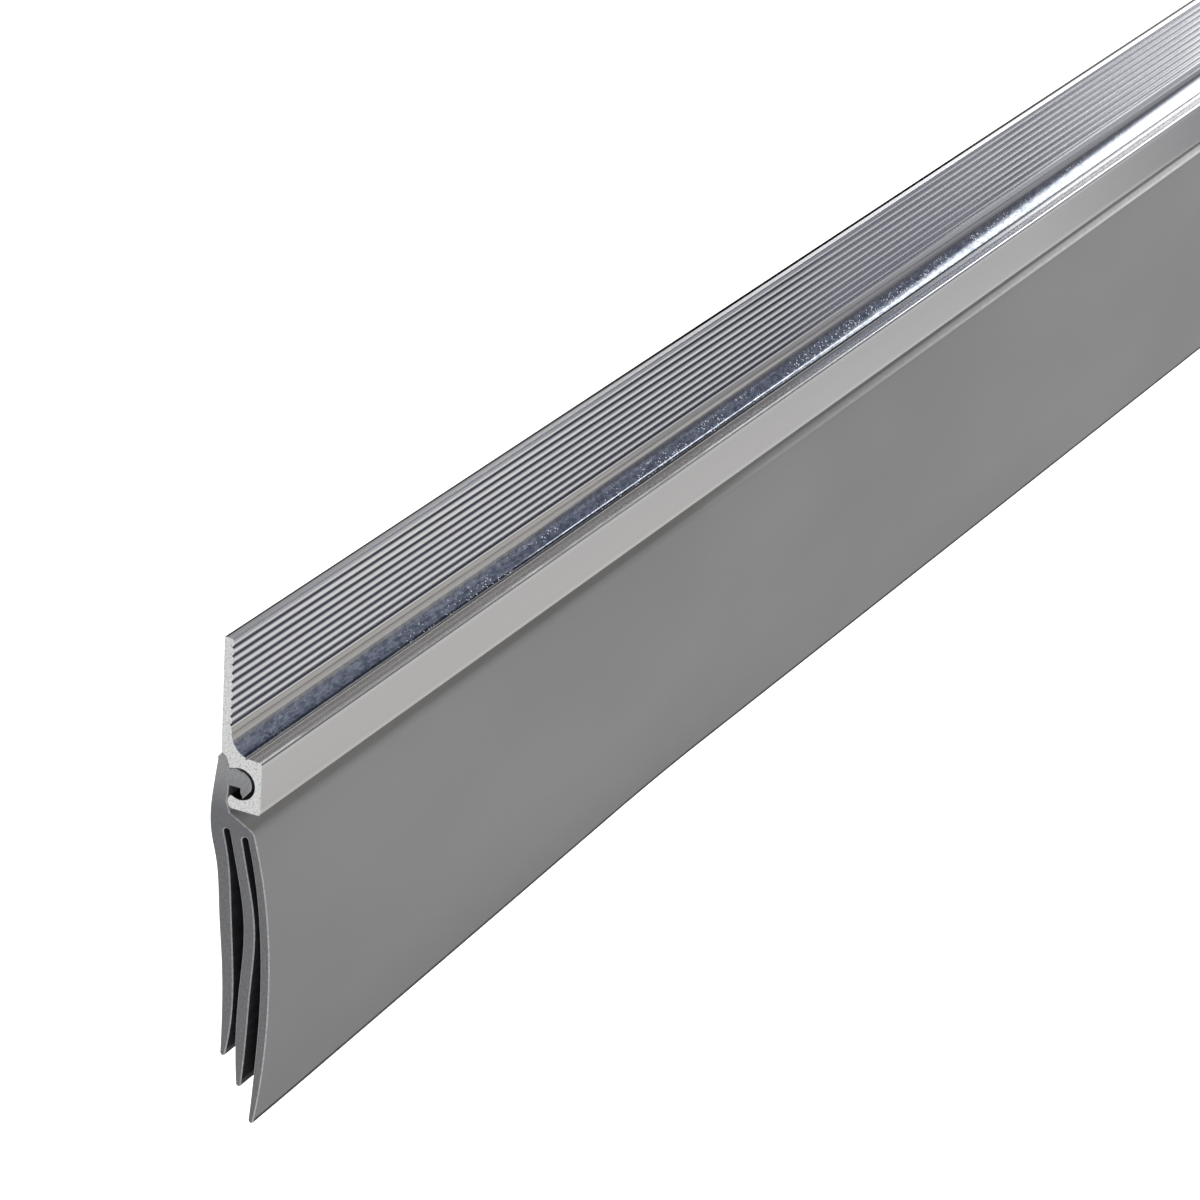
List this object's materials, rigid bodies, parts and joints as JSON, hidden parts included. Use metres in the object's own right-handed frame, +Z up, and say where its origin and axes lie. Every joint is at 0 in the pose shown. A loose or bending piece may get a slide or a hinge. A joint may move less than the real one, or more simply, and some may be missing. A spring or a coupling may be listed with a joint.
{
  "type": "door weatherstrip",
  "caption": "Straight strip for a door's lower edge: a ribbed aluminium carrier whose box holds a soft rubber seal with hanging fins.",
  "frame": {"origin": "middle of the carrier's flat back, halfway along the strip and halfway up the flat", "axes": "+X along the strip, +Y out of the flat back towards the door, +Z up with the strip as fitted"},
  "size_m": [1, 0.008, 0.0548],
  "materials": {
    "aluminium": "mill-finished extrusion with sawn ends",
    "seal_rubber": "smooth matt grey"
  },
  "bodies": {
    "root": {"carrier_profile": "aluminium", "fin_seal": "seal_rubber"}
  },
  "joints": []
}
